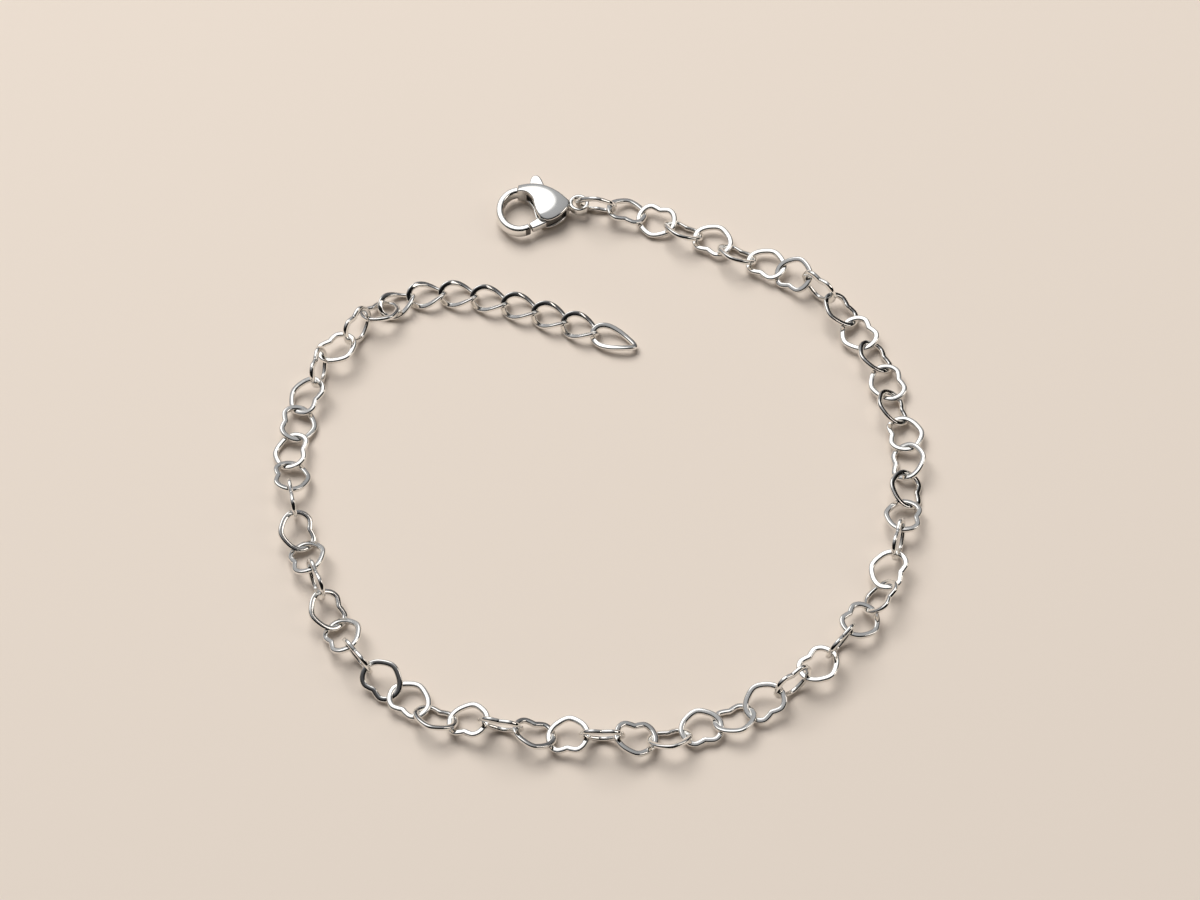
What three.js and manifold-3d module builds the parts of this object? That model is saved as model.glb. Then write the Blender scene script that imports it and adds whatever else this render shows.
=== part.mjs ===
// A heart link chain bracelet laid open on a table, in millimetres with +Z up.
// The chain runs clockwise from the lobster clasp: heart links first, then a curb extender
// whose larger last link is the one that the clasp hooks into.
import * as THREE from "three";
import { mergeVertices } from "three/addons/utils/BufferGeometryUtils.js";
import Module from "manifold-3d";

const wasm = await Module();
wasm.setup();

// Heart links
const HEART_LENGTH = 4.145; // outer, along the chain, over both lobes
const LOBE_REACH = 1.55; // from the chain's line to the outside of a lobe
const TIP_REACH = 1.98; // from the chain's line to the outside of the tip
const WIRE_WIDTH = 0.48; // in the link's own plane
const WIRE_THICKNESS = 0.44;
const LINK_BITE = 0.06; // how far two wires sink into each other where they bear
const MOST_LIFT = 0.35; // how far a link may slip up through its neighbours to clear the table
const LEAST_STEEPNESS = 0.5; // sine of the roll under which a link lies too flat to slip

// Curb links of the extender
const CURB_LINKS = 8;
const CHAIN_GAP = 1; // how far the first of them hangs back from the last heart link
const CURB_LENGTH = 4.1;
const CURB_WIDTH = 3.2;
const CURB_TAPER = 0.12; // share by which the end away from the clasp is narrower
const CURB_TWIST = 45; // degrees each way from the middle of a link to its ends
const LAST_LENGTH = 4.95;
const LAST_WIDTH = 3.4;
const LAST_TAPER = 0.5;
const LAST_TWIST = 26;
const CURB_SIDES = 12;

// Lobster clasp; its own origin is the middle of the tail eye, with +X towards the chain
const EYE_OUTER = 2.15;
const EYE_WIRE = 0.46; // across the eye, seen from above
const EYE_DEPTH = 0.9; // top to bottom
const EYE_STEPS = 16;
const EYE_GAP = 0.34; // between the eye and the first link
const HOOK_MIDDLE = new THREE.Vector2(-6, -0.92);
const HOOK_HALF_LENGTH = 2.03; // to the middle of the hook's wire, along the clasp
const HOOK_HALF_WIDTH = 2.45;
const HOOK_WIRE = 0.8; // across the hook, seen from above
const HOOK_DEPTH = 1.25; // top to bottom
const HOOK_STEPS = 20;
const HOOK_ROOT_ANGLE = 80;
const HOOK_TIP_ANGLE = 299;
const CHEEK_LENGTH = 5.3; // from the tail eye to where the cheeks end on the hook
const CHEEK_REACH = 2.14; // from the clasp's line to the cheeks' back
const BELLY_REACH = 2.47; // from the clasp's line to the cheeks' belly
const DOME_HALF_LENGTH = 4; // of the ball that rounds both faces of the clasp
const DOME_HALF_WIDTH = 3.4;
const DOME_HEIGHT = 2.3; // top to bottom of the clasp at its thickest
const DOME_MIDDLE = new THREE.Vector2(-3.95, 0.1);
const SLOT_HEIGHT = 0.95;
const SLOT_ENDS = [-5.25, -1.35]; // where the slot stops, along the clasp
const LEVER_THICKNESS = 0.8;
const LEVER_EDGE = 0.12;
const NUB_REACH = 4.4; // from the pin to the nub's end, across the clasp
const NUB_LEAN = 2.9; // from the pin to the nub's far side, along the clasp
const SEAM_ANGLE = 4.5; // opening between the hook's tip and the gate, round the hook
const PIVOT = new THREE.Vector2(-2.15, -0.85);
const PIN_DIAMETER = 0.5;
const PIN_GAP = 0.05;
const PIN_LENGTH = 1.6;

// Outline of the cheeks from the eye over the back: shares of the cheeks' length from the eye,
// and of the back's reach (above 0) or the belly's reach (below 0); each row ends a smooth
// curve that leaves and arrives by its two handles, or a straight line where it has none
const CHEEK_OUTLINE = [
  { end: [0, 0] },
  { leave: [0.12, 0.3], arrive: [0.37, 0.92], end: [0.69, 0.985] },
  { leave: [0.8, 1], arrive: [0.91, 0.97], end: [1, 0.93] },
  { end: [1, 0.5] },
  { leave: [0.87, 0.6], arrive: [0.735, 0.28], end: [0.696, -0.07] },
  { leave: [0.67, -0.44], arrive: [0.61, -1], end: [0.415, -1] },
  { leave: [0.27, -1], arrive: [0.07, -0.6], end: [0, -0.22] },
];

// Outline of the lever past its gate: shares of the nub's lean along the clasp and of the
// nub's reach across it, from the pin
const LEVER_OUTLINE = [
  { leave: [-0.59, -0.466], arrive: [-0.07, -0.3], end: [0.172, -0.08] },
  { leave: [0.26, 0], arrive: [0.21, 0.1], end: [0.1, 0.136] },
  { leave: [-0.1, 0.25], arrive: [-0.33, 0.455], end: [-0.462, 0.677] },
  { leave: [-0.534, 0.82], arrive: [-0.62, 1], end: [-0.776, 1] },
  { leave: [-0.914, 1], arrive: [-0.983, 0.91], end: [-1, 0.75] },
  { leave: [-0.93, 0.43], arrive: [-0.45, 0.2], end: [-0.466, -0.023] },
];
const GATE_BEND = { leave: [-0.48, -0.136], arrive: [-0.72, -0.25] }; // the gate's inner side

// Where the chain lies, hand-chosen points from the clasp's eye clockwise past the free end
const ROUTE_CHAIN = 193.7; // length of the stretched chain for which the points are chosen
const CHAIN_ROUTE = [
  [-1.89, 28.85], [4.5, 27.7], [10.2, 25.2], [15.6, 22.2], [20.8, 18.9], [24.8, 14.6],
  [27.5, 9.3], [29.2, 3.4], [29.5, -2.8], [28.8, -9], [26.6, -15.6], [23.1, -21],
  [18.8, -25.6], [13.2, -29.2], [7.3, -31.1], [1.3, -31.8], [-4.8, -31.4], [-11.1, -30.3],
  [-17.3, -27.9], [-22.2, -23.9], [-25.4, -18.2], [-27.9, -12.2], [-29.4, -6], [-29.8, -2],
  [-29.5, 1.2], [-29.2, 4.4], [-27.6, 7.1], [-26.9, 10.3], [-24.3, 12.3], [-22.7, 15.1],
  [-20.1, 16.9], [-18.3, 17.9], [-15.5, 18.1], [-12.4, 17.7], [-6.5, 15.9], [-0.4, 13.3],
  [3.6, 11.7], [9, 9.5],
];

// Roll of each heart link about the chain, in degrees: 0 is flat with the notch outside the
// loop, 90 stands on the tip with the notch up, 180 is flat with the notch inside the loop
const HEART_ROLLS = [
  { stretch: "top, from the clasp", rolls: [-73, 166, 14, -35, 185, -36, 182, 207] },
  { stretch: "upper right", rolls: [91, -24, 8, -30, 0, -36] },
  { stretch: "right side", rolls: [180, 208, -30, 2, 100, 12, 42, 175] },
  { stretch: "lower right", rolls: [80, 185, 95, -8] },
  { stretch: "bottom", rolls: [201, -8, 217, 182, 75, -8, 200, 77, 0, 212] },
  { stretch: "lower left", rolls: [0, -29, 80, -12, 198, 95] },
  { stretch: "left side", rolls: [-12, 198, 90, 12, 162, 14, 164, 78] },
  { stretch: "top left, to the extender", rolls: [-10, 75, -22] },
];

const SILVER = { color: 0xd9dbdd, roughness: 0.12, metalness: 1 };

// Half of the heart's centreline from the notch to the tip: shares of the half length along
// the chain, and shares of the lobes' reach (above 0) or the tip's reach (below 0) across it
const HEART_HALF = [
  { along: 0, across: 0.86 },
  { along: 0.22, across: 0.95 },
  { along: 0.54, across: 1 },
  { along: 0.84, across: 0.7 },
  { along: 1, across: 0.12 },
  { along: 0.95, across: -0.32 },
  { along: 0.62, across: -0.72 },
  { along: 0, across: -1 },
];

// Sections of the chain's wire and of the clasp's cast wire, from the outer side over the top:
// shares of the half width and of the half depth
const WIRE_SECTION = [
  { outward: 1, up: 0 },
  { outward: 0.6, up: 1 },
  { outward: -0.6, up: 1 },
  { outward: -1, up: 0 },
  { outward: -0.6, up: -1 },
  { outward: 0.6, up: -1 },
];
const CAST_SECTION = [
  { outward: 1, up: 0.45 },
  { outward: 0.8, up: 0.84 },
  { outward: 0.36, up: 1 },
  { outward: -0.36, up: 1 },
  { outward: -0.8, up: 0.84 },
  { outward: -1, up: 0.45 },
  { outward: -1, up: -0.45 },
  { outward: -0.8, up: -0.84 },
  { outward: -0.36, up: -1 },
  { outward: 0.36, up: -1 },
  { outward: 0.8, up: -0.84 },
  { outward: 1, up: -0.45 },
];

function heartCentreline() {
  const halfLength = (HEART_LENGTH - WIRE_WIDTH) / 2;
  const right = HEART_HALF.map(({ along, across }) => {
    const reach = (across > 0 ? LOBE_REACH : TIP_REACH) - WIRE_WIDTH / 2;
    return new THREE.Vector2(along * halfLength, across * reach);
  });
  const left = right.slice(1, -1).map((point) => new THREE.Vector2(-point.x, point.y));
  return [...left, ...right.reverse()];
}

// An oval that narrows towards +X by the share taper.
function ovalCentreline(length, width, taper) {
  const points = [];
  for (let i = 0; i < CURB_SIDES; i++) {
    const angle = (i / CURB_SIDES) * 2 * Math.PI;
    const narrowing = 1 - (taper * (1 + Math.cos(angle))) / 2;
    points.push(
      new THREE.Vector2(
        (Math.cos(angle) * (length - WIRE_WIDTH)) / 2,
        (Math.sin(angle) * narrowing * (width - WIRE_WIDTH)) / 2,
      ),
    );
  }
  return points;
}

// A skin over cross-sections that follow each other, closed into a loop or with two flat ends.
function skinOver(sections, isLoop) {
  const corners = sections[0].length;
  const last = (sections.length - 1) * corners;
  const triangles = [];
  sections.forEach((section, i) => {
    const next = (i + 1) % sections.length;
    if (next === 0 && !isLoop) return;
    for (let j = 0; j < corners; j++) {
      const a = i * corners + j;
      const b = i * corners + ((j + 1) % corners);
      const c = next * corners + j;
      const d = next * corners + ((j + 1) % corners);
      triangles.push(a, c, d, a, d, b);
    }
  });
  for (let j = 1; j + 1 < corners && !isLoop; j++) {
    triangles.push(0, j, j + 1, last, last + j + 1, last + j);
  }
  const geometry = new THREE.BufferGeometry().setFromPoints(sections.flat());
  geometry.setIndex(triangles);
  return geometry;
}

// A closed wire of flattened section round an outline that runs anticlockwise.
function wireLoop(outline) {
  const sides = outline.length;
  const sections = outline.map((here, i) => {
    const into = here.clone().sub(outline[(i + sides - 1) % sides]).normalize();
    const outOf = outline[(i + 1) % sides].clone().sub(here).normalize();
    const tangent = into.clone().add(outOf).normalize();
    const mitre = WIRE_WIDTH / 2 / tangent.dot(into);
    return WIRE_SECTION.map(({ outward, up }) => {
      const reach = outward * mitre;
      const height = (up * WIRE_THICKNESS) / 2;
      return new THREE.Vector3(here.x + tangent.y * reach, here.y - tangent.x * reach, height);
    });
  });
  return skinOver(sections, true);
}

// Turns each cross-section of a link about the chain's line, by degrees at the +X end and as
// much the other way at the -X end.
function twistAlong(geometry, length, degrees) {
  const place = geometry.getAttribute("position");
  const axis = new THREE.Vector3(1, 0, 0);
  const point = new THREE.Vector3();
  for (let i = 0; i < place.count; i++) {
    point.fromBufferAttribute(place, i);
    const turn = THREE.MathUtils.degToRad(degrees) * (point.x / (length / 2));
    point.applyAxisAngle(axis, turn);
    place.setXYZ(i, point.x, point.y, point.z);
  }
  return geometry;
}

function heartLink(roll) {
  const outline = heartCentreline();
  return { outline, geometry: wireLoop(outline), roll, setback: 0 };
}

function curbLink(length, width, taper, twist) {
  const outline = ovalCentreline(length, width, taper);
  const geometry = twistAlong(wireLoop(outline), length, -twist);
  return { outline, geometry, roll: 0, setback: 0 };
}

// How far a link's centreline reaches along +X where it crosses the height across.
function reachAt(outline, across) {
  let reach = 0;
  outline.forEach((from, i) => {
    const to = outline[(i + 1) % outline.length];
    if ((from.y - across) * (to.y - across) > 0) return;
    const share = from.y === to.y ? 0 : (across - from.y) / (to.y - from.y);
    reach = Math.max(reach, from.x + share * (to.x - from.x));
  });
  return reach;
}

// How far a rolled link reaches below the chain's line.
function depthBelow(link) {
  const rolled = link.geometry.clone().rotateX(THREE.MathUtils.degToRad(link.roll));
  rolled.computeBoundingBox();
  return -rolled.boundingBox.min.z;
}

// Heights of the joints above the table: halfway between what the two links there need, or
// high enough for both to clear the table once they have slipped up.
function jointHeights(links, firstHeight) {
  const depths = links.map(depthBelow);
  const least = links.map((link, i) => depths[i] - (isSteep(link) ? MOST_LIFT : 0));
  const heights = [firstHeight];
  for (let i = 1; i < links.length; i++) {
    const halfway = (depths[i - 1] + depths[i]) / 2;
    heights.push(Math.max(halfway, least[i - 1], least[i]));
  }
  heights.push(depths[links.length - 1]);
  return heights;
}

function steepness(link) {
  return Math.sin(THREE.MathUtils.degToRad(link.roll));
}

function isSteep(link) {
  return Math.abs(steepness(link)) > LEAST_STEEPNESS;
}

// How far a link slips along its own plane so that it clears the table.
function slideOf(link, middleHeight) {
  const lack = THREE.MathUtils.clamp(depthBelow(link) - middleHeight, 0, MOST_LIFT);
  return isSteep(link) ? lack / steepness(link) : 0;
}

// The route as a fine run of points in plan, scaled about its start to suit the chain's length.
function routePoints(chainLength) {
  const points = CHAIN_ROUTE.map(([x, y]) => new THREE.Vector3(x, y, 0));
  const curve = new THREE.CatmullRomCurve3(points, false, "catmullrom", 0.5);
  const scale = chainLength / ROUTE_CHAIN;
  const start = points[0].clone();
  const fine = curve.getPoints(CHAIN_ROUTE.length * 60);
  return fine.map((point) => point.sub(start).multiplyScalar(scale).add(start));
}

// Marches the joints along the route, a link's chord from each to the next. A link with a
// setback starts that much behind its joint, clear of the link before it.
function layJoints(links, firstHeight) {
  const heights = jointHeights(links, firstHeight);
  links.forEach((link, i) => {
    link.slide = slideOf(link, (heights[i] + heights[i + 1]) / 2);
    link.chord = 2 * reachAt(link.outline, -link.slide) - WIRE_WIDTH + LINK_BITE;
  });
  const route = routePoints(links.reduce((sum, link) => sum + link.chord, 0));
  const joints = [route[0].clone().setZ(heights[0])];
  let index = 0;
  links.forEach((link, i) => {
    const rise = heights[i + 1] - heights[i];
    const step = Math.sqrt((link.chord - link.setback) ** 2 - rise ** 2);
    const from = joints[i].clone().setZ(0);
    while (index < route.length - 1 && route[index].distanceTo(from) < step) index++;
    const onward = route[index].clone().sub(from).setLength(step);
    joints.push(from.add(onward).setZ(heights[i + 1]));
  });
  return joints;
}

// The solid of a link that ends at one joint and comes from the one before.
function placedLink(link, from, to) {
  const along = to.clone().sub(from).normalize();
  const outside = new THREE.Vector3(-along.y, along.x, 0).normalize();
  const across = outside.applyAxisAngle(along, THREE.MathUtils.degToRad(link.roll));
  const face = along.clone().cross(across);
  const middle = to.clone().addScaledVector(along, -link.chord / 2);
  middle.addScaledVector(across, link.slide);
  const place = new THREE.Matrix4().makeBasis(along, across, face).setPosition(middle);
  return solidOf(link.geometry.clone().applyMatrix4(place));
}

function solidOf(geometry) {
  const bare = new THREE.BufferGeometry();
  bare.setAttribute("position", geometry.getAttribute("position"));
  bare.setIndex(geometry.getIndex());
  const merged = mergeVertices(bare, 1e-4);
  return new wasm.Manifold(
    new wasm.Mesh({
      numProp: 3,
      vertProperties: merged.getAttribute("position").array,
      triVerts: new Uint32Array(merged.getIndex().array),
    }),
  );
}

function meshOf(name, solid, finish = SILVER) {
  const { vertProperties, triVerts, numProp } = solid.getMesh();
  const geometry = new THREE.BufferGeometry();
  const places = [];
  for (const vertex of triVerts) {
    places.push(...vertProperties.subarray(vertex * numProp, vertex * numProp + 3));
  }
  geometry.setAttribute("position", new THREE.Float32BufferAttribute(places, 3));
  geometry.computeVertexNormals();
  const mesh = new THREE.Mesh(geometry, new THREE.MeshStandardMaterial(finish));
  mesh.name = name;
  return mesh;
}

// The two chains: fused heart links, and the fused curb links that hang from the last of them.
function chainMeshes() {
  const hearts = HEART_ROLLS.flatMap(({ rolls }) => rolls).map(heartLink);
  const curbs = Array.from({ length: CURB_LINKS - 1 }, () =>
    curbLink(CURB_LENGTH, CURB_WIDTH, CURB_TAPER, CURB_TWIST),
  );
  curbs.push(curbLink(LAST_LENGTH, LAST_WIDTH, LAST_TAPER, LAST_TWIST));
  curbs[0].setback = LINK_BITE + CHAIN_GAP;
  const links = [...hearts, ...curbs];
  const joints = layJoints(links, DOME_HEIGHT / 2);
  const solids = links.map((link, i) => placedLink(link, joints[i], joints[i + 1]));
  return [
    meshOf("heart_chain", wasm.Manifold.union(solids.slice(0, hearts.length))),
    meshOf("extender_chain", wasm.Manifold.union(solids.slice(hearts.length))),
  ];
}

// A plate of the given thickness, level with the clasp's middle, with rounded edges.
function roundedPlate(shape, thickness, edge, curveSegments) {
  const depth = thickness - 2 * edge;
  const geometry = new THREE.ExtrudeGeometry(shape, {
    depth,
    curveSegments,
    bevelThickness: edge,
    bevelSize: edge,
    bevelOffset: -edge,
    bevelSegments: 2,
  });
  return solidOf(plainIndexed(geometry.translate(0, 0, -depth / 2)));
}

function plainIndexed(geometry) {
  const bare = new THREE.BufferGeometry();
  bare.setAttribute("position", geometry.getAttribute("position"));
  if (geometry.getIndex()) bare.setIndex(geometry.getIndex());
  return mergeVertices(bare, 1e-4);
}

function straightPlate(shape, height, curveSegments) {
  const geometry = new THREE.ExtrudeGeometry(shape, {
    depth: height,
    curveSegments,
    bevelEnabled: false,
  });
  return solidOf(plainIndexed(geometry.translate(0, 0, -height / 2)));
}

function pin(diameter, length) {
  const cylinder = new THREE.CylinderGeometry(diameter / 2, diameter / 2, length, 16);
  return solidOf(plainIndexed(cylinder.rotateX(Math.PI / 2).translate(PIVOT.x, PIVOT.y, 0)));
}

// A point on the hook, so far out from the middle of its wire and so far up.
function hookPoint(degrees, out, up = 0) {
  const angle = THREE.MathUtils.degToRad(degrees);
  return new THREE.Vector3(
    HOOK_MIDDLE.x + (HOOK_HALF_LENGTH + out) * Math.cos(angle),
    HOOK_MIDDLE.y + (HOOK_HALF_WIDTH + out) * Math.sin(angle),
    up,
  );
}

// The open ring of the hook, from its root in the clasp's dome round to the seam.
function hookRing() {
  const turn = HOOK_TIP_ANGLE - HOOK_ROOT_ANGLE;
  const sections = Array.from({ length: HOOK_STEPS + 1 }, (_, i) => {
    const degrees = HOOK_ROOT_ANGLE + (i / HOOK_STEPS) * turn;
    return CAST_SECTION.map(({ outward, up }) =>
      hookPoint(degrees, (outward * HOOK_WIRE) / 2, (up * HOOK_DEPTH) / 2),
    );
  });
  return solidOf(skinOver(sections, false));
}

function tailEye() {
  const sections = Array.from({ length: EYE_STEPS }, (_, i) => {
    const angle = (i / EYE_STEPS) * 2 * Math.PI;
    return CAST_SECTION.map(({ outward, up }) => {
      const radius = EYE_OUTER / 2 - ((1 - outward) * EYE_WIRE) / 2;
      const height = (up * EYE_DEPTH) / 2;
      return new THREE.Vector3(radius * Math.cos(angle), radius * Math.sin(angle), height);
    });
  });
  return solidOf(skinOver(sections, true));
}

// Goes on with a shape by the rows of an outline, placed by the function at.
function follow(shape, rows, at) {
  for (const { leave, arrive, end } of rows) {
    const points = (leave ? [leave, arrive, end] : [end]).flatMap((point) => at(point).toArray());
    if (leave) shape.bezierCurveTo(...points);
    else shape.lineTo(...points);
  }
  return shape;
}

function cheekPoint([along, across]) {
  const neck = -(EYE_OUTER - EYE_WIRE / 2) / 2;
  const reach = across > 0 ? CHEEK_REACH : BELLY_REACH;
  return new THREE.Vector2(neck - along * CHEEK_LENGTH, across * reach);
}

// The comma shaped outline of the clasp's two domed cheeks, seen from above.
function cheekShape() {
  const [start, ...rest] = CHEEK_OUTLINE;
  const shape = new THREE.Shape();
  shape.moveTo(...cheekPoint(start.end).toArray());
  return follow(shape, rest, cheekPoint);
}

function claspBody() {
  const ball = new THREE.SphereGeometry(1, 22, 12).rotateX(Math.PI / 2);
  ball.scale(DOME_HALF_LENGTH, DOME_HALF_WIDTH, DOME_HEIGHT / 2);
  ball.translate(DOME_MIDDLE.x, DOME_MIDDLE.y, 0);
  const dome = straightPlate(cheekShape(), DOME_HEIGHT, 6).intersect(solidOf(plainIndexed(ball)));
  const slot = new THREE.BoxGeometry(SLOT_ENDS[1] - SLOT_ENDS[0], DOME_HALF_WIDTH * 2, SLOT_HEIGHT);
  slot.translate((SLOT_ENDS[0] + SLOT_ENDS[1]) / 2, 0, 0);
  return dome
    .subtract(solidOf(plainIndexed(slot)))
    .subtract(pin(PIN_DIAMETER + 2 * PIN_GAP, PIN_LENGTH + 2 * PIN_GAP))
    .add(hookRing())
    .add(tailEye());
}

function leverPoint([along, across]) {
  return new THREE.Vector2(PIVOT.x + along * NUB_LEAN, PIVOT.y + across * NUB_REACH);
}

// The lever: a gate that closes on the hook's tip, and a thumb nub on the far side.
function leverShape() {
  const gateInside = hookPoint(HOOK_TIP_ANGLE + SEAM_ANGLE, -HOOK_WIRE / 2);
  const gateOutside = hookPoint(HOOK_TIP_ANGLE + SEAM_ANGLE, HOOK_WIRE / 2);
  const shape = new THREE.Shape();
  shape.moveTo(gateInside.x, gateInside.y);
  shape.lineTo(gateOutside.x, gateOutside.y);
  follow(shape, LEVER_OUTLINE, leverPoint);
  const [leave, arrive] = [GATE_BEND.leave, GATE_BEND.arrive].map(leverPoint);
  shape.bezierCurveTo(leave.x, leave.y, arrive.x, arrive.y, gateInside.x, gateInside.y);
  return shape;
}

function claspLever() {
  return roundedPlate(leverShape(), LEVER_THICKNESS, LEVER_EDGE, 6).subtract(
    pin(PIN_DIAMETER + 2 * PIN_GAP, 2 * LEVER_THICKNESS),
  );
}

function claspGroup() {
  const clasp = new THREE.Group();
  clasp.add(meshOf("clasp_body", claspBody()));
  clasp.add(meshOf("clasp_lever", claspLever()));
  clasp.add(meshOf("clasp_pin", pin(PIN_DIAMETER, PIN_LENGTH)));
  const [x, y] = CHAIN_ROUTE[0];
  const eyeInside = EYE_OUTER / 2 - EYE_WIRE;
  clasp.position.set(x - eyeInside + EYE_GAP + LINK_BITE / 2, y, DOME_HEIGHT / 2);
  return clasp;
}

// Stands the laid bracelet on the table, with the middle of its box over the origin.
function onTable(pieces) {
  const laid = new THREE.Group();
  laid.add(...pieces);
  const box = new THREE.Box3().setFromObject(laid);
  const middle = box.getCenter(new THREE.Vector3());
  laid.position.set(-middle.x, -middle.y, -box.min.z);
  const bracelet = new THREE.Group();
  return bracelet.add(laid);
}

const bracelet = onTable([...chainMeshes(), claspGroup()]);

export default bracelet;
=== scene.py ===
# %% [markdown]
# # A heart link bracelet in polished silver
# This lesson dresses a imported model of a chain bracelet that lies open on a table. The
# solids are the frame: they say where each piece is and what moves. Everything that the eye
# reads as jewellery is made here: smooth rounded wire in every link, a cast and tumbled
# lobster clasp, polished silver, and the light that silver needs to look like metal.

# %% Load the frame
import math

import bmesh
import bpy
import numpy as np
from mathutils import Matrix, Vector


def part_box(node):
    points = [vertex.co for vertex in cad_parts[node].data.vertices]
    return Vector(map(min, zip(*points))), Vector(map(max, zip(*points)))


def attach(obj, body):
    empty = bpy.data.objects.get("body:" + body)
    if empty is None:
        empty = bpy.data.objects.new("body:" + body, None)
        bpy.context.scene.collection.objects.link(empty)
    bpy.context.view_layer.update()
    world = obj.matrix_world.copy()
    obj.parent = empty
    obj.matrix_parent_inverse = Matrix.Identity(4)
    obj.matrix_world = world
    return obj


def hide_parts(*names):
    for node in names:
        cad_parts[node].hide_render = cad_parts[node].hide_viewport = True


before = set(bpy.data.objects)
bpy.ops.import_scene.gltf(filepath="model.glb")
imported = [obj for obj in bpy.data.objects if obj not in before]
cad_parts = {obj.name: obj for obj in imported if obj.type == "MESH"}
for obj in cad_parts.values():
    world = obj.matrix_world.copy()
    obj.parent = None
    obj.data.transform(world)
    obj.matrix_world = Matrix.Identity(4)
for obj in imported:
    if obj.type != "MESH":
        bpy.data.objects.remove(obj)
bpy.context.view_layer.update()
MM = 0.001

# %% [markdown]
# ## The bench
# A piece is made in millimetres, where the numbers read like a jeweller's, and turned into
# metres when its mesh is stored. The chain was laid out from the clasp's tail eye, before the
# whole bracelet was centred on its own box. The pivot pin is in both layouts, so it tells how
# far the bracelet was moved, and every new piece moves the same way.

# %% Place of the layout in the frame
CLASP_HEIGHT = 2.3
EYE_CENTRE = Vector((-2.135, 28.85, CLASP_HEIGHT / 2))
PIVOT = Vector((-2.15, -0.85, 0))
pin_low, pin_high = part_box("clasp_pin")
PLACE = (Vector(pin_low) + Vector(pin_high)) / 2 / MM - (EYE_CENTRE + PIVOT)
print("layout moved by", tuple(round(c, 3) for c in PLACE), "mm")


def keep(name, mesh, material, moved=PLACE):
    """A finished piece at the origin, its place and metres in its mesh."""
    mesh.name = name
    mesh.transform(Matrix.Scale(MM, 4) @ Matrix.Translation(moved))
    mesh.update()
    piece = bpy.data.objects.new(name, mesh)
    bpy.context.scene.collection.objects.link(piece)
    mesh.materials.clear()
    mesh.materials.append(material)
    mesh.shade_smooth()
    return piece


def signed_volume(mesh):
    """Above zero where the faces point outwards."""
    mesh.calc_loop_triangles()
    places = np.empty(len(mesh.vertices) * 3)
    mesh.vertices.foreach_get("co", places)
    corners = np.empty(len(mesh.loop_triangles) * 3, dtype=int)
    mesh.loop_triangles.foreach_get("vertices", corners)
    a, b, c = places.reshape(-1, 3)[corners.reshape(-1, 3)].transpose(1, 0, 2)
    return float(np.einsum("ij,ij->", a, np.cross(b, c))) / 6


def face_outwards(mesh):
    if signed_volume(mesh) < 0:
        mesh.flip_normals()
    return mesh


# %% [markdown]
# ## Polished silver
# Sterling silver is the whitest metal there is, with a trace of warmth. The links are drawn
# from wire, pressed, closed and then tumbled with steel shot, so they shine like a mirror but
# keep tiny dents and dull spots. Gloss alone looks like plastic: the life is in a roughness
# that changes a little from place to place, and in a surface that isn't quite flat.


# %% Helpers for materials
def linear(hex_colour):
    """An sRGB hex value as the linear colour that a shader takes."""
    channels = [int(hex_colour[i:i + 2], 16) / 255 for i in (1, 3, 5)]
    return (*[c / 12.92 if c <= 0.04045 else ((c + 0.055) / 1.055) ** 2.4 for c in channels], 1)


def add_node(tree, kind, settings=None, values=None, links=None):
    """Adds a node, sets it, and links the named inputs to other nodes' outputs."""
    node = tree.nodes.new(kind)
    for name, value in (settings or {}).items():
        setattr(node, name, value)
    for name, value in (values or {}).items():
        node.inputs[name].default_value = value
    for name, output in (links or {}).items():
        tree.links.new(output, node.inputs[name])
    return node


def new_material(name):
    """A material and the shader that comes with it."""
    material = bpy.data.materials.new(name)
    material.use_nodes = True
    return material, material.node_tree.nodes["Principled BSDF"]


# %% Sterling silver, drawn or cast, then tumbled
SHINIEST, SPOTS_PER_MM = 0.05, 1.6


def tumbled_silver(name, colour, dullest, dent_size, dent_depth):
    """Silver from its shiniest to the dullest roughness, with dents sized in millimetres."""
    material, shader = new_material(name)
    tree = material.node_tree
    shader.inputs["Base Color"].default_value = linear(colour)
    shader.inputs["Metallic"].default_value = 1
    place = add_node(tree, "ShaderNodeTexCoord").outputs["Object"]
    spots = add_node(tree, "ShaderNodeTexNoise", values={"Scale": SPOTS_PER_MM / MM, "Detail": 3},
                     links={"Vector": place})
    dullness = add_node(tree, "ShaderNodeMapRange",
                        values={"From Min": 0.3, "From Max": 0.7, "To Min": SHINIEST,
                                "To Max": dullest},
                        links={"Value": spots.outputs["Fac"]})
    tree.links.new(dullness.outputs["Result"], shader.inputs["Roughness"])
    dents = add_node(tree, "ShaderNodeTexNoise", values={"Scale": 1 / (dent_size * MM), "Detail": 1},
                     links={"Vector": place})
    bump = add_node(tree, "ShaderNodeBump", values={"Strength": 1, "Distance": dent_depth * MM},
                    links={"Height": dents.outputs["Fac"]})
    tree.links.new(bump.outputs["Normal"], shader.inputs["Normal"])
    return material


WIRE_SILVER = tumbled_silver("Tumbled silver wire", "#F1EFEB", dullest=0.15, dent_size=1.3,
                             dent_depth=0.01)
CAST_SILVER = tumbled_silver("Tumbled cast silver", "#EFEDE9", dullest=0.12, dent_size=2.2,
                             dent_depth=0.006)

# %% Silver painted with the slot's shade
# Inside the clasp's slot, and on the lever where the cheeks hide it, the silver is painted dark grey
# and rough: painted shade, for the dark band that falls between the two bright cheeks.
SLOT_SHADE_SILVER, slot_shade_shader = new_material("Silver painted with slot shade")
slot_shade_shader.inputs["Base Color"].default_value = linear("#6F6B67")
slot_shade_shader.inputs["Metallic"].default_value = 1
slot_shade_shader.inputs["Roughness"].default_value = 0.5

# %% [markdown]
# ## The outline of a link
# A heart link is a ring of wire pressed into a heart: two lobes along the chain, a notch
# between them on one side and a blunt tip on the other. Half of it is enough to draw, as
# shares of the reach that each side has. A smooth closed curve then runs through the points.
# A curb link is an oval that narrows a little at one end, and gets a twist later.

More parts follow.
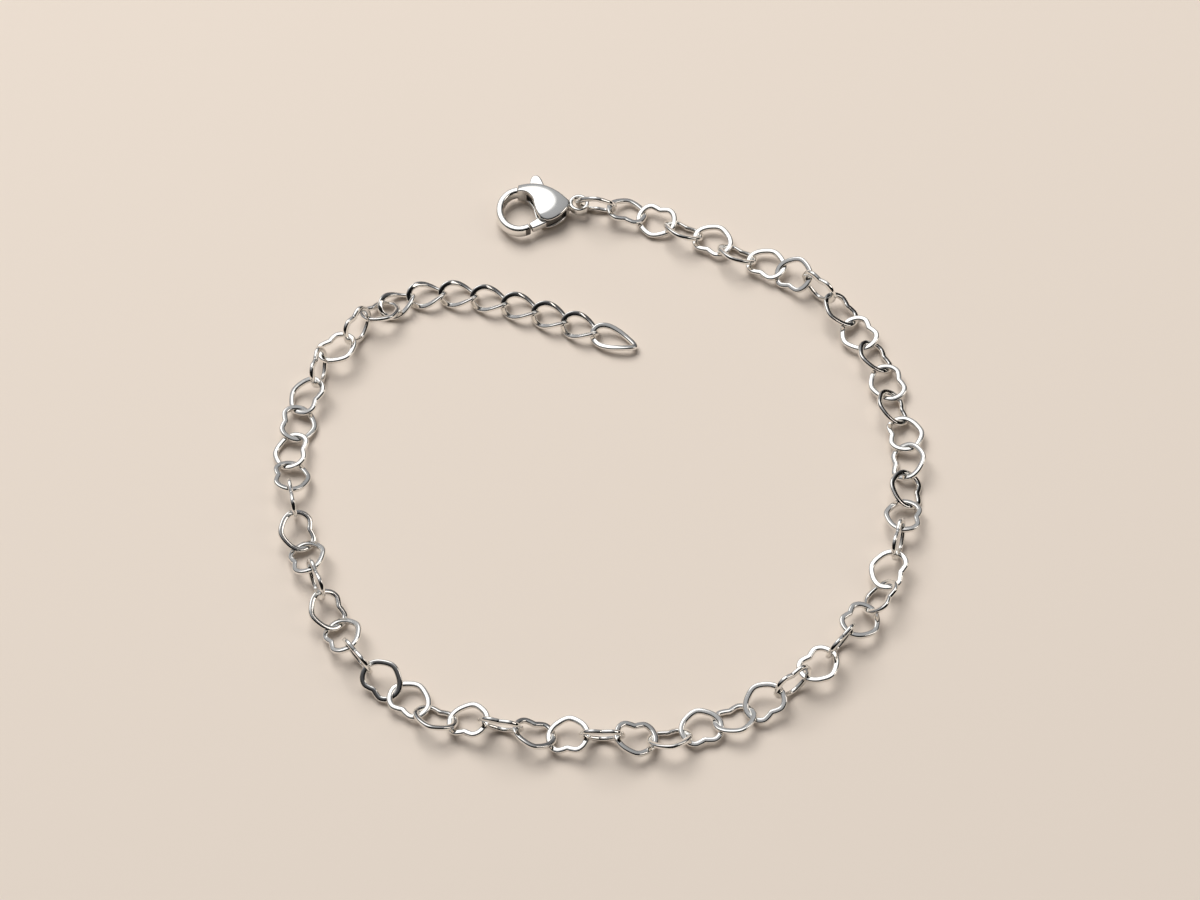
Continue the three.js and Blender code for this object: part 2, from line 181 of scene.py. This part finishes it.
# %% Sizes of the links, in millimetres
HEART_LENGTH, LOBE_REACH, TIP_REACH = 4.145, 1.55, 1.98
WIRE_WIDTH, WIRE_THICKNESS, LINK_BITE = 0.48, 0.44, 0.06
# A link's length and pitch are those of the solids, whose wire is WIRE_WIDTH. The
# photograph's wire looks a little wider, so the wire that shows is DRESSED_WIDTH. The links
# lie high enough for it, which moves them by up to 0.16 mm from the solids' links.
DRESSED_WIDTH, WIRE_ROUNDING, ROUNDING_STEPS = 0.56, 0.17, 4
CURB_LINKS, CURB_LENGTH, CURB_WIDTH, CURB_TAPER, CURB_TWIST = 8, 4.1, 3.2, 0.12, 45
LAST_LENGTH, LAST_WIDTH, LAST_TAPER, LAST_TWIST = 4.95, 3.4, 0.5, 26
CURB_SIDES, CHAIN_GAP = 12, 1
OUTLINE_STEPS, ROUTE_STEPS = 5, 60
# Half a heart, as shares along the chain and across it
HEART_HALF = [(0, 0.86), (0.22, 0.95), (0.54, 1), (0.84, 0.7), (1, 0.12), (0.95, -0.32),
              (0.62, -0.72), (0, -1)]


def smooth_run(points, steps, closed):
    """Points on a smooth curve through the given ones, steps to each stretch."""
    points = np.array(points, dtype=float)
    if closed:
        padded = np.vstack([points[-1], points, points[:2]])
    else:
        padded = np.vstack([2 * points[0] - points[1], points, 2 * points[-1] - points[-2]])
    shares = np.linspace(0, 1, steps, endpoint=False)[:, None]
    run = []
    for before, start, end, after in zip(padded, padded[1:], padded[2:], padded[3:]):
        leave, arrive = (end - before) / 2, (after - start) / 2
        cubic = 2 * start - 2 * end + leave + arrive
        square = -3 * start + 3 * end - 2 * leave - arrive
        run.append(((cubic * shares + square) * shares + leave) * shares + start)
    return np.vstack(run) if closed else np.vstack([*run, points[-1:]])


def heart_corners():
    """The heart's centreline, its notch and lobes at positive y and its tip at negative y."""
    half = (HEART_LENGTH - WIRE_WIDTH) / 2
    right = [(along * half,
              across * ((LOBE_REACH if across > 0 else TIP_REACH) - WIRE_WIDTH / 2))
             for along, across in HEART_HALF]
    left = [(-x, y) for x, y in right[1:-1]]
    return left + right[::-1]


def oval_corners(length, width, taper):
    """An oval's centreline, narrowed towards the end that leads away from the clasp."""
    angles = np.linspace(0, 2 * math.pi, CURB_SIDES, endpoint=False)
    narrowing = 1 - taper * (1 + np.cos(angles)) / 2
    return np.stack([np.cos(angles) * (length - WIRE_WIDTH) / 2,
                     np.sin(angles) * narrowing * (width - WIRE_WIDTH) / 2], axis=1)


def smooth_outline(corners):
    return smooth_run(corners, OUTLINE_STEPS, closed=True)


print("a heart link's centreline has", len(smooth_outline(heart_corners())), "points")

# %% [markdown]
# ## Links by Geometry Nodes
# A chain is one link many times over, so the link is built once, inside a node tree, and set
# on a point for each place. The tree sweeps a rounded section round the outline, twists the
# ring about the chain's line, and copies it with the turn that each point carries. It ends by
# making the copies real, because an export knows no instances.


# %% The tree that makes and lays links
def link_tree():
    tree = bpy.data.node_groups.new("Lay links", "GeometryNodeTree")
    tree.interface.new_socket(name="Places", in_out="INPUT", socket_type="NodeSocketGeometry")
    for name, kind in [("Outline", "Object"), ("Wire width", "Float"), ("Wire thickness", "Float"),
                       ("Wire rounding", "Float"), ("Rounding steps", "Int"), ("Half length", "Float"),
                       ("Twist", "Float"), ("Metal", "Material")]:
        tree.interface.new_socket(name=name, in_out="INPUT", socket_type="NodeSocket" + kind)
    tree.interface.new_socket(name="Links", in_out="OUTPUT", socket_type="NodeSocketGeometry")
    given = tree.nodes.new("NodeGroupInput").outputs

    outline = add_node(tree, "GeometryNodeObjectInfo", links={"Object": given["Outline"]})
    loop = add_node(tree, "GeometryNodeMeshToCurve", links={"Mesh": outline.outputs["Geometry"]})
    level = add_node(tree, "GeometryNodeSetCurveNormal", {"mode": "Z_UP"},
                     links={"Curve": loop.outputs["Curve"]})
    section = add_node(tree, "GeometryNodeCurvePrimitiveQuadrilateral",
                       links={"Width": given["Wire width"], "Height": given["Wire thickness"]})
    rounded = add_node(tree, "GeometryNodeFilletCurve", {"mode": "POLY"},
                       links={"Curve": section.outputs["Curve"], "Radius": given["Wire rounding"],
                              "Count": given["Rounding steps"]})
    ring = add_node(tree, "GeometryNodeCurveToMesh",
                    links={"Curve": level.outputs["Curve"], "Profile Curve": rounded.outputs["Curve"]})

    position = add_node(tree, "GeometryNodeInputPosition").outputs["Position"]
    along = add_node(tree, "ShaderNodeSeparateXYZ", links={"Vector": position}).outputs["X"]
    share = add_node(tree, "ShaderNodeMath", {"operation": "DIVIDE"})
    tree.links.new(along, share.inputs[0])
    tree.links.new(given["Half length"], share.inputs[1])
    turn = add_node(tree, "ShaderNodeMath", {"operation": "MULTIPLY"})
    tree.links.new(share.outputs["Value"], turn.inputs[0])
    tree.links.new(given["Twist"], turn.inputs[1])
    twisted = add_node(tree, "ShaderNodeVectorRotate", {"rotation_type": "X_AXIS"},
                       links={"Vector": position, "Angle": turn.outputs["Value"]})
    link = add_node(tree, "GeometryNodeSetPosition",
                    links={"Geometry": ring.outputs["Mesh"], "Position": twisted.outputs["Vector"]})

    lie = add_node(tree, "GeometryNodeInputNamedAttribute", {"data_type": "QUATERNION"},
                   {"Name": "lie"})
    turned = next(output for output in lie.outputs if output.enabled)
    copies = add_node(tree, "GeometryNodeInstanceOnPoints",
                      links={"Points": given["Places"], "Instance": link.outputs["Geometry"],
                             "Rotation": turned})
    real = add_node(tree, "GeometryNodeRealizeInstances",
                    links={"Geometry": copies.outputs["Instances"]})
    metal = add_node(tree, "GeometryNodeSetMaterial",
                     links={"Geometry": real.outputs["Geometry"], "Material": given["Metal"]})
    out = tree.nodes.new("NodeGroupOutput")
    tree.links.new(metal.outputs["Geometry"], out.inputs["Links"])
    return tree


LINKS = link_tree()
print("the link tree has", len(LINKS.nodes), "nodes")


# %% Running the tree
def closed_line(points):
    """A closed line of edges, for a tree to sweep along."""
    mesh = bpy.data.meshes.new("outline")
    count = len(points)
    mesh.from_pydata([(x, y, 0) for x, y in points], [(i, (i + 1) % count) for i in range(count)], [])
    line = bpy.data.objects.new("outline", mesh)
    bpy.context.scene.collection.objects.link(line)
    return line


def make_links(outline, length, twist, middles, lies):
    """One mesh of the same link laid at each middle, turned by each quaternion."""
    places = bpy.data.meshes.new("places")
    places.from_pydata([tuple(middle) for middle in middles], [], [])
    lie = places.attributes.new("lie", "QUATERNION", "POINT")
    lie.data.foreach_set("value", np.array([tuple(q) for q in lies]).ravel())
    carrier = bpy.data.objects.new("places", places)
    bpy.context.scene.collection.objects.link(carrier)
    line = closed_line(outline)
    modifier = carrier.modifiers.new("Lay links", "NODES")
    modifier.node_group = LINKS
    sockets = {item.name: item.identifier for item in LINKS.interface.items_tree
               if item.in_out == "INPUT"}
    sizes = {"Outline": line, "Wire width": DRESSED_WIDTH, "Wire thickness": WIRE_THICKNESS,
             "Wire rounding": WIRE_ROUNDING, "Rounding steps": ROUNDING_STEPS,
             "Half length": length / 2, "Twist": math.radians(-twist), "Metal": WIRE_SILVER}
    for name, value in sizes.items():
        modifier[sockets[name]] = value
    depsgraph = bpy.context.evaluated_depsgraph_get()
    mesh = bpy.data.meshes.new_from_object(carrier.evaluated_get(depsgraph), depsgraph=depsgraph)
    carrier.modifiers.remove(modifier)
    bpy.data.objects.remove(carrier)
    bpy.data.objects.remove(line)
    return face_outwards(mesh)


# %% [markdown]
# ## How each link lies
# On a table the links of a loose chain roll this way and that: some lie flat, some stand on
# edge between their neighbours. Each link's roll about the chain is read off and kept in a
# short list. 0 is flat with the notch outside the loop, 90 stands on the tip.

# %% The route and the rolls
CHAIN_ROUTE = [
    (-1.89, 28.85), (4.5, 27.7), (10.2, 25.2), (15.6, 22.2), (20.8, 18.9), (24.8, 14.6),
    (27.5, 9.3), (29.2, 3.4), (29.5, -2.8), (28.8, -9), (26.6, -15.6), (23.1, -21),
    (18.8, -25.6), (13.2, -29.2), (7.3, -31.1), (1.3, -31.8), (-4.8, -31.4), (-11.1, -30.3),
    (-17.3, -27.9), (-22.2, -23.9), (-25.4, -18.2), (-27.9, -12.2), (-29.4, -6), (-29.8, -2),
    (-29.5, 1.2), (-29.2, 4.4), (-27.6, 7.1), (-26.9, 10.3), (-24.3, 12.3), (-22.7, 15.1),
    (-20.1, 16.9), (-18.3, 17.9), (-15.5, 18.1), (-12.4, 17.7), (-6.5, 15.9), (-0.4, 13.3),
    (3.6, 11.7), (9, 9.5),
]
HEART_ROLLS = [
    -73, 166, 14, -35, 185, -36, 182, 207,  # top, from the clasp
    91, -24, 8, -30, 0, -36,  # upper right
    180, 208, -30, 2, 100, 12, 42, 175,  # right side
    80, 185, 95, -8,  # lower right
    201, -8, 217, 182, 75, -8, 200, 77, 0, 212,  # bottom
    0, -29, 80, -12, 198, 95,  # lower left
    -12, 198, 90, 12, 162, 14, 164, 78,  # left side
    -10, 75, -22,  # top left, to the extender
]
MOST_LIFT, LEAST_STEEPNESS = 0.35, 0.5


class Link:
    """One link's form, its roll, and what the march below finds for it."""

    def __init__(self, corners, length, twist, roll=0, setback=0):
        self.corners, self.length, self.twist = corners, length, twist
        self.roll, self.setback = math.radians(roll), setback
        self.steepness = math.sin(self.roll)
        self.steep = abs(self.steepness) > LEAST_STEEPNESS


def depths_below(links):
    """How far each rolled link reaches below the chain's line."""
    rings = {}
    for link in links:
        if id(link.corners) not in rings:
            outline = smooth_outline(link.corners)
            ring = make_links(outline, link.length, link.twist, [(0, 0, 0)], [(1, 0, 0, 0)])
            places = np.empty(len(ring.vertices) * 3)
            ring.vertices.foreach_get("co", places)
            rings[id(link.corners)] = places.reshape(-1, 3)
        _, y, z = rings[id(link.corners)].T
        link.depth = -float((y * math.sin(link.roll) + z * math.cos(link.roll)).min())


def reach_at(corners, across):
    """How far a centreline reaches along the chain at a height across it."""
    reach = 0
    for (x0, y0), (x1, y1) in zip(corners, np.roll(corners, -1, axis=0)):
        if (y0 - across) * (y1 - across) <= 0 and y0 != y1:
            reach = max(reach, x0 + (across - y0) / (y1 - y0) * (x1 - x0))
    return reach


# %% [markdown]
# ## Laying the chain
# The joints march along the route, each link's inner length from the last to the next, so no
# link is stretched. A joint's height is halfway between what its two links need to clear the
# table. A steep link may also slip up a little through its neighbours.


# %% The march
def lay(links):
    """The joints of the laid chain, one more than it has links."""
    depths_below(links)
    depths = [link.depth for link in links]
    least = [link.depth - (MOST_LIFT if link.steep else 0) for link in links]
    heights = [CLASP_HEIGHT / 2]
    for i in range(1, len(links)):
        heights.append(max((depths[i - 1] + depths[i]) / 2, least[i - 1], least[i]))
    heights.append(depths[-1])
    route = smooth_run(CHAIN_ROUTE, ROUTE_STEPS, closed=False)
    joints, index = [np.array([*route[0], heights[0]])], 0
    for i, link in enumerate(links):
        lack = min(max(link.depth - (heights[i] + heights[i + 1]) / 2, 0), MOST_LIFT)
        link.slide = lack / link.steepness if link.steep else 0
        link.chord = 2 * reach_at(link.corners, -link.slide) - WIRE_WIDTH + LINK_BITE
        step = math.sqrt((link.chord - link.setback) ** 2 - (heights[i + 1] - heights[i]) ** 2)
        here = joints[-1][:2]
        while index < len(route) - 1 and np.linalg.norm(route[index] - here) < step:
            index += 1
        onward = route[index] - here
        joints.append(np.array([*(here + onward / np.linalg.norm(onward) * step), heights[i + 1]]))
    return joints


def place_of(link, start, end):
    """The middle of a link between two joints, and its turn as a quaternion."""
    along = Vector(end - start).normalized()
    outside = Vector((-along.y, along.x, 0)).normalized()
    across = Matrix.Rotation(link.roll, 3, along) @ outside
    middle = Vector(end) - along * (link.chord / 2) + across * link.slide
    turn = Matrix((along, across, along.cross(across))).transposed()
    return middle, turn.to_quaternion()


HEART, CURB = heart_corners(), oval_corners(CURB_LENGTH, CURB_WIDTH, CURB_TAPER)
LAST = oval_corners(LAST_LENGTH, LAST_WIDTH, LAST_TAPER)
links = [Link(HEART, HEART_LENGTH, 0, roll) for roll in HEART_ROLLS]
links += [Link(CURB, CURB_LENGTH, CURB_TWIST) for _ in range(CURB_LINKS - 1)]
links.append(Link(LAST, LAST_LENGTH, LAST_TWIST))
links[len(HEART_ROLLS)].setback = LINK_BITE + CHAIN_GAP
joints = lay(links)
laid = [place_of(link, start, end) for link, start, end in zip(links, joints, joints[1:])]
print(len(links), "links, last joint at", tuple(round(c, 2) for c in joints[-1]))


# %% The three runs of links
def run_of(name, first, count):
    """A run of links of one form, kept as one piece."""
    link = links[first]
    middles, turns = zip(*laid[first:first + count])
    outline = smooth_outline(link.corners)
    mesh = make_links(outline, link.length, link.twist, middles, turns)
    piece = keep(name, mesh, WIRE_SILVER)
    print(name, "has", sum(len(face.vertices) - 2 for face in mesh.polygons), "triangles")
    return piece


hearts = len(HEART_ROLLS)
heart_links = run_of("heart_links", 0, hearts)
extender_links = run_of("extender_links", hearts, CURB_LINKS - 1)
end_link = run_of("extender_end_link", len(links) - 1, 1)

# %% [markdown]
# ## The lobster clasp
# The clasp is cast in one piece: a hook ring, two domed cheeks with a slot between them, and
# the tail eye. Casting and tumbling leave no sharp edge, so the forms are first joined as
# sharp solids, then remeshed as one skin of small squares and relaxed until every edge is
# soft. A bevel on each edge would give the same look, but it fails where the forms run into
# each other.

# %% Sizes of the clasp, from the middle of the tail eye
EYE_OUTER, EYE_WIRE, EYE_DEPTH = 2.15, 0.46, 0.9
HOOK_MIDDLE, HOOK_HALF = (-6, -0.92), (2.03, 2.45)
HOOK_WIRE, HOOK_DEPTH, HOOK_ANGLES = 0.8, 1.25, (80, 299)
CHEEK_LENGTH, CHEEK_REACH, BELLY_REACH = 5.3, 2.14, 2.47
DOME_HALF, DOME_MIDDLE = (4, 3.4), (-3.95, 0.1)
SLOT_HEIGHT, SLOT_ENDS, SLOT_MARGIN = 0.95, (-5.25, -1.35), 0.1
LEVER_THICKNESS, LEVER_EDGE, SEAM_ANGLE = 0.8, 0.15, 4.5
NUB_LEAN, NUB_REACH = 2.9, 4.4
# The gate shows where x is below the first, the nub where y is above the second
GATE_SHOWS, NUB_SHOWS = -3.3, 1.2
SQUARENESS = 0.62  # 0 is a box, 1 an oval
SECTION_POINTS, HOOK_STEPS, EYE_STEP = 28, 90, 6  # EYE_STEP is in degrees
CUTTER_REACH = 10  # takes the slot's cutter past both sides of the clasp
COMMA_THICKNESS = CLASP_HEIGHT * 1.5  # takes the comma's plate past the ball's top and bottom
# The side of the cast skin's squares, and how many times the skin is relaxed
DOME_GRAIN, DOME_RELAX = 0.06, 24
SKIN_GRAIN, SKIN_RELAX = 0.045, 6


def bezier_run(start, curves, steps=12):
    """A closed outline of cubic stretches; a stretch of one point is straight."""
    outline = [start]
    for curve in curves:
        if len(curve) == 1:
            outline.append(curve[0])
            continue
        p0, (p1, p2, p3) = np.array(outline[-1]), np.array(curve)
        for t in np.linspace(0, 1, steps + 1)[1:]:
            outline.append(tuple((1 - t) ** 3 * p0 + 3 * (1 - t) ** 2 * t * p1
                                 + 3 * (1 - t) * t * t * p2 + t ** 3 * p3))
    return outline


def plate(outline, thickness):
    """A flat plate of the given outline, level with the clasp's middle."""
    form = bmesh.new()
    rim = [form.verts.new((x, y, -thickness / 2)) for x, y in outline]
    face = form.faces.new(rim)
    lifted = bmesh.ops.extrude_face_region(form, geom=[face])["geom"]
    bmesh.ops.translate(form, vec=(0, 0, thickness),
                        verts=[item for item in lifted if isinstance(item, bmesh.types.BMVert)])
    bmesh.ops.recalc_face_normals(form, faces=form.faces)
    return form


def mesh_of(form, name):
    mesh = bpy.data.meshes.new(name)
    form.to_mesh(mesh)
    form.free()
    return mesh


def as_object(form, name):
    made = bpy.data.objects.new(name, mesh_of(form, name))
    bpy.context.scene.collection.objects.link(made)
    return made


def finished(made, *modifiers):
    """The object's mesh after the given modifiers, with the object gone."""
    for kind, settings in modifiers:
        modifier = made.modifiers.new(kind, kind)
        for name, value in settings.items():
            setattr(modifier, name, value)
    depsgraph = bpy.context.evaluated_depsgraph_get()
    mesh = bpy.data.meshes.new_from_object(made.evaluated_get(depsgraph), depsgraph=depsgraph)
    made.modifiers.clear()
    bpy.data.objects.remove(made)
    return mesh


def at_shares(curves, place):
    """The stretches of an outline, each point put where the function says."""
    return [[place(*point) for point in curve] for curve in curves]


# %% Hook ring, cheeks and eye
def hook_point(degrees, out):
    """A point of the ring seen from above, out from the middle of its wire."""
    angle = math.radians(degrees)
    return (HOOK_MIDDLE[0] + (HOOK_HALF[0] + out) * math.cos(angle),
            HOOK_MIDDLE[1] + (HOOK_HALF[1] + out) * math.sin(angle))


def crowned_section(width, depth):
    """A cast wire's section: a box with round shoulders and a slight crown on every face."""
    angles = np.linspace(0, 2 * math.pi, SECTION_POINTS, endpoint=False)
    return [(width / 2 * math.copysign(abs(math.cos(a)) ** SQUARENESS, math.cos(a)),
             depth / 2 * math.copysign(abs(math.sin(a)) ** SQUARENESS, math.sin(a)))
            for a in angles]


def swept(rings, closed):
    """A skin over rings of points that follow each other."""
    form = bmesh.new()
    rings = [[form.verts.new(point) for point in ring] for ring in rings]
    onward = rings[1:] + (rings[:1] if closed else [])
    for here, there in zip(rings, onward):
        for i in range(len(here)):
            j = (i + 1) % len(here)
            form.faces.new((here[i], there[i], there[j], here[j]))
    if not closed:
        form.faces.new(rings[0])
        form.faces.new(rings[-1][::-1])
    bmesh.ops.recalc_face_normals(form, faces=form.faces)
    return form


def hook_form():
    """The open ring, from its root in the cheeks round to the seam."""
    section = crowned_section(HOOK_WIRE, HOOK_DEPTH)
    return swept([[(*hook_point(angle, out), up) for out, up in section]
                  for angle in np.linspace(*HOOK_ANGLES, HOOK_STEPS)], closed=False)


def eye_form():
    """The tail eye, a short tube with round edges."""
    middle = (EYE_OUTER - EYE_WIRE) / 2
    section = crowned_section(EYE_WIRE, EYE_DEPTH)
    return swept([[((middle + out) * math.cos(turn), (middle + out) * math.sin(turn), up)
                   for out, up in section]
                  for turn in np.radians(np.arange(0, 360, EYE_STEP))], closed=True)


def cheek_point(along, across):
    """A point of the cheeks' outline, given as shares of their length and reach."""
    neck = -(EYE_OUTER - EYE_WIRE / 2) / 2
    return neck - along * CHEEK_LENGTH, across * (CHEEK_REACH if across > 0 else BELLY_REACH)


CHEEK = bezier_run(cheek_point(0, 0), at_shares([
    [(0.12, 0.3), (0.37, 0.92), (0.69, 0.985)],
    [(0.8, 1), (0.91, 0.97), (1, 0.93)],
    [(1, 0.5)],
    [(0.87, 0.6), (0.735, 0.28), (0.696, -0.07)],
    [(0.67, -0.44), (0.61, -1), (0.415, -1)],
    [(0.27, -1), (0.07, -0.6), (0, -0.22)],
], cheek_point))


def dome_form():
    """The cheeks: the comma outline cut out of a flattened ball, less the lever's slot."""
    ball = bmesh.new()
    bmesh.ops.create_uvsphere(ball, u_segments=96, v_segments=64, radius=1)
    bmesh.ops.scale(ball, vec=(*DOME_HALF, CLASP_HEIGHT / 2), verts=ball.verts)
    bmesh.ops.translate(ball, vec=(*DOME_MIDDLE, 0), verts=ball.verts)
    ball = as_object(ball, "ball")
    comma = as_object(plate(CHEEK, COMMA_THICKNESS), "comma")
    slot = bmesh.new()
    bmesh.ops.create_cube(slot, size=1)
    length = SLOT_ENDS[1] - SLOT_ENDS[0]
    bmesh.ops.scale(slot, vec=(length, CUTTER_REACH, SLOT_HEIGHT), verts=slot.verts)
    bmesh.ops.translate(slot, vec=(sum(SLOT_ENDS) / 2, 0, 0), verts=slot.verts)
    slot = as_object(slot, "slot")
    mesh = finished(ball, ("BOOLEAN", {"operation": "INTERSECT", "object": comma}),
                    ("BOOLEAN", {"operation": "DIFFERENCE", "object": slot}))
    bpy.data.objects.remove(comma)
    bpy.data.objects.remove(slot)
    return mesh


# %% One cast skin
def cast(*meshes, grain, relax):
    """Joins overlapping forms into one skin of squares of the grain's size, then relaxes it."""
    form = bmesh.new()
    for mesh in meshes:
        form.from_mesh(mesh)
    whole = as_object(form, "casting")
    return finished(whole, ("REMESH", {"mode": "VOXEL", "voxel_size": grain, "adaptivity": 0}),
                    ("SMOOTH", {"factor": 0.5, "iterations": relax}))


worn_dome = cast(dome_form(), grain=DOME_GRAIN, relax=DOME_RELAX)
clasp_skin = cast(worn_dome, mesh_of(hook_form(), "hook"), mesh_of(eye_form(), "eye"),
                  grain=SKIN_GRAIN, relax=SKIN_RELAX)


def keep_casting(name, mesh, is_shaded):
    """Keeps a piece of the clasp, painted with the slot's shade where the function says so of a face's
    middle.
    """
    shaded = [is_shaded(face.center) for face in mesh.polygons]
    piece = keep(name, face_outwards(mesh), CAST_SILVER, PLACE + EYE_CENTRE)
    # The dark second material is painted shade, on the faces that the function picks.
    mesh.materials.append(SLOT_SHADE_SILVER)
    mesh.polygons.foreach_set("material_index", [int(flag) for flag in shaded])
    print(name, "has", len(shaded) * 2, "triangles,", sum(shaded), "of its squares raw")
    return piece


def in_slot(spot):
    """True on the slot's walls, which the relaxing moves a little past its ends."""
    low, high = SLOT_ENDS
    return low - SLOT_MARGIN < spot.x < high + SLOT_MARGIN and abs(spot.z) < SLOT_HEIGHT / 2


# The slot's walls get the painted shade.
clasp_body = keep_casting("clasp_casting", clasp_skin, in_slot)

# %% [markdown]
# ## The lever
# The lever is pressed from sheet: a gate that closes on the hook's tip at one end and a thumb
# nub at the other, with softly rounded edges. It turns on the hidden pin, so it rides on its
# own body.

# %% Gate and thumb nub
def lever_point(along, across):
    """A point of the lever's outline, given as shares of the nub's lean and reach."""
    return PIVOT.x + along * NUB_LEAN, PIVOT.y + across * NUB_REACH


def between_cheeks(spot):
    """True on the lever where the cheeks hide it, apart from the gate and the nub."""
    return spot.x > GATE_SHOWS and spot.y < NUB_SHOWS


gate_angle = HOOK_ANGLES[1] + SEAM_ANGLE
gate_inside = hook_point(gate_angle, -HOOK_WIRE / 2)
LEVER = bezier_run(gate_inside, [
    [hook_point(gate_angle, HOOK_WIRE / 2)],
    *at_shares([
        [(-0.59, -0.466), (-0.07, -0.3), (0.172, -0.08)],
        [(0.26, 0), (0.21, 0.1), (0.1, 0.136)],
        [(-0.1, 0.25), (-0.33, 0.455), (-0.462, 0.677)],
        [(-0.534, 0.82), (-0.62, 1), (-0.776, 1)],
        [(-0.914, 1), (-0.983, 0.91), (-1, 0.75)],
        [(-0.93, 0.43), (-0.45, 0.2), (-0.466, -0.023)],
    ], lever_point),
    [lever_point(-0.48, -0.136), lever_point(-0.72, -0.25), gate_inside],
])[:-1]
lever_mesh = cast(finished(
    as_object(plate(LEVER, LEVER_THICKNESS), "lever"),
    ("BEVEL", {"width": LEVER_EDGE, "segments": 4, "limit_method": "ANGLE",
               "angle_limit": math.radians(50)}),
), grain=SKIN_GRAIN, relax=SKIN_RELAX)
# The lever's middle, hidden between the cheeks, gets the painted shade too.
clasp_lever = keep_casting("clasp_gate_and_nub", lever_mesh, between_cheeks)

# %% [markdown]
# ## What moves with what
# Each piece rides on the body of the solid that it stands for. The chain and the casting are
# one body, the lever is the other, and the pin keeps its own solid.

# %% Riding, replacing, and the pin's silver
for piece, body, node in [(heart_links, "bracelet", "heart_chain"),
                          (extender_links, "bracelet", "extender_chain"),
                          (end_link, "bracelet", "extender_chain"),
                          (clasp_body, "bracelet", "clasp_body"),
                          (clasp_lever, "lever", "clasp_lever")]:
    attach(piece, body)
    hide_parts(node)
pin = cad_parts["clasp_pin"]
pin.data.materials.clear()
pin.data.materials.append(CAST_SILVER)

# %% [markdown]
# ## Table, light and camera
# Polished silver shows nothing of its own, only what is round it. So the light is built for
# its reflections. The room that the silver mirrors is drawn as a few tones: white where the
# window behind the bracelet is, which falls on every face that lies level, grey beside it and
# nearly black far from it, which gives the dark lines. The lamp of that window lights the table
# and casts the shadows, but the silver doesn't mirror it, because its glare would be ragged.
# A weaker lamp on the right is mirrored, and draws a second line along the wires. The table is
# plain, pale and slightly warm.

# %% A plain pale table
table_material, table_shader = new_material("Plain pale table, matt")
table_shader.inputs["Base Color"].default_value = linear("#DCD0C4")
table_shader.inputs["Roughness"].default_value = 0.75
table_mesh = bpy.data.meshes.new("table")
HALF_TABLE = 3.0  # metres, so that its edge is far out of the picture
table_corners = [(-HALF_TABLE, -HALF_TABLE, 0), (HALF_TABLE, -HALF_TABLE, 0),
                 (HALF_TABLE, HALF_TABLE, 0), (-HALF_TABLE, HALF_TABLE, 0)]
table_mesh.from_pydata(table_corners, [], [(0, 1, 2, 3)])
table_mesh.materials.append(table_material)
table = bpy.data.objects.new("table", table_mesh)
bpy.context.scene.collection.objects.link(table)


# %% Two soft windows
def soft_window(name, towards, distance, width, height, power, colour, mirrored=True):
    """A lamp in the given direction that faces the middle, mirrored in the silver or not."""
    lamp = bpy.data.lights.new(name, "AREA")
    lamp.shape, lamp.size, lamp.size_y = "RECTANGLE", width, height
    lamp.energy, lamp.color = power, linear(colour)[:3]
    holder = bpy.data.objects.new(name, lamp)
    holder.visible_glossy = mirrored
    away = Vector(towards).normalized()
    holder.location = away * distance
    holder.rotation_euler = away.to_track_quat("Z", "Y").to_euler()
    bpy.context.scene.collection.objects.link(holder)


# Directions from the bracelet, and sizes and distances in metres
WINDOW, RIGHT_WINDOW = (-0.33, 0.62, 1.0), (1.2, 0.1, 0.9)
soft_window("Window behind", WINDOW, distance=0.8, width=0.62, height=0.5, power=5.5,
            colour="#FFFDFA", mirrored=False)
soft_window("Window on the right", RIGHT_WINDOW, distance=0.9, width=0.35, height=0.5, power=1.0,
            colour="#FFF8F0")

# %% The room that the silver mirrors
ROOM_LIGHT = 1.6
# Colours of the room by how nearly a direction faces the window: 1 is straight towards it
ROOM_TONES = [(0.35, "#0C0C0C"), (0.55, "#48484A"), (0.72, "#828385"), (0.885, "#929395"),
              (0.91, "#FFFFFF")]


def dim_room():
    """A room that the silver mirrors: its window, mid grey beside that, dark further off."""
    room = bpy.data.worlds.new("Dim room")
    room.use_nodes = True
    tree = room.node_tree
    direction = add_node(tree, "ShaderNodeTexCoord").outputs["Generated"]
    facing = add_node(tree, "ShaderNodeVectorMath", {"operation": "DOT_PRODUCT"})
    tree.links.new(direction, facing.inputs[0])
    facing.inputs[1].default_value = Vector(WINDOW).normalized()
    walls = add_node(tree, "ShaderNodeValToRGB", links={"Fac": facing.outputs["Value"]})
    stops = walls.color_ramp.elements
    for place, colour in ROOM_TONES:
        stops.new(place).color = linear(colour)
    stops.remove(stops[0])
    stops.remove(stops[-1])
    background = tree.nodes["Background"].inputs
    tree.links.new(walls.outputs["Color"], background["Color"])
    background["Strength"].default_value = ROOM_LIGHT
    return room


bpy.context.scene.world = dim_room()
bpy.context.scene.view_settings.view_transform = "Standard"

# %% The camera, at the photograph's angle
ELEVATION, DISTANCE = math.radians(57.4), 0.2902
lens = bpy.data.cameras.new("Camera")
lens.lens, lens.sensor_width, lens.clip_start = 90, 36, 0.01
camera = bpy.data.objects.new("Camera", lens)
back = Vector((0, -math.cos(ELEVATION), math.sin(ELEVATION)))
camera.location = PLACE * MM + back * DISTANCE
camera.rotation_euler = back.to_track_quat("Z", "Y").to_euler()
bpy.context.scene.collection.objects.link(camera)
bpy.context.scene.camera = camera
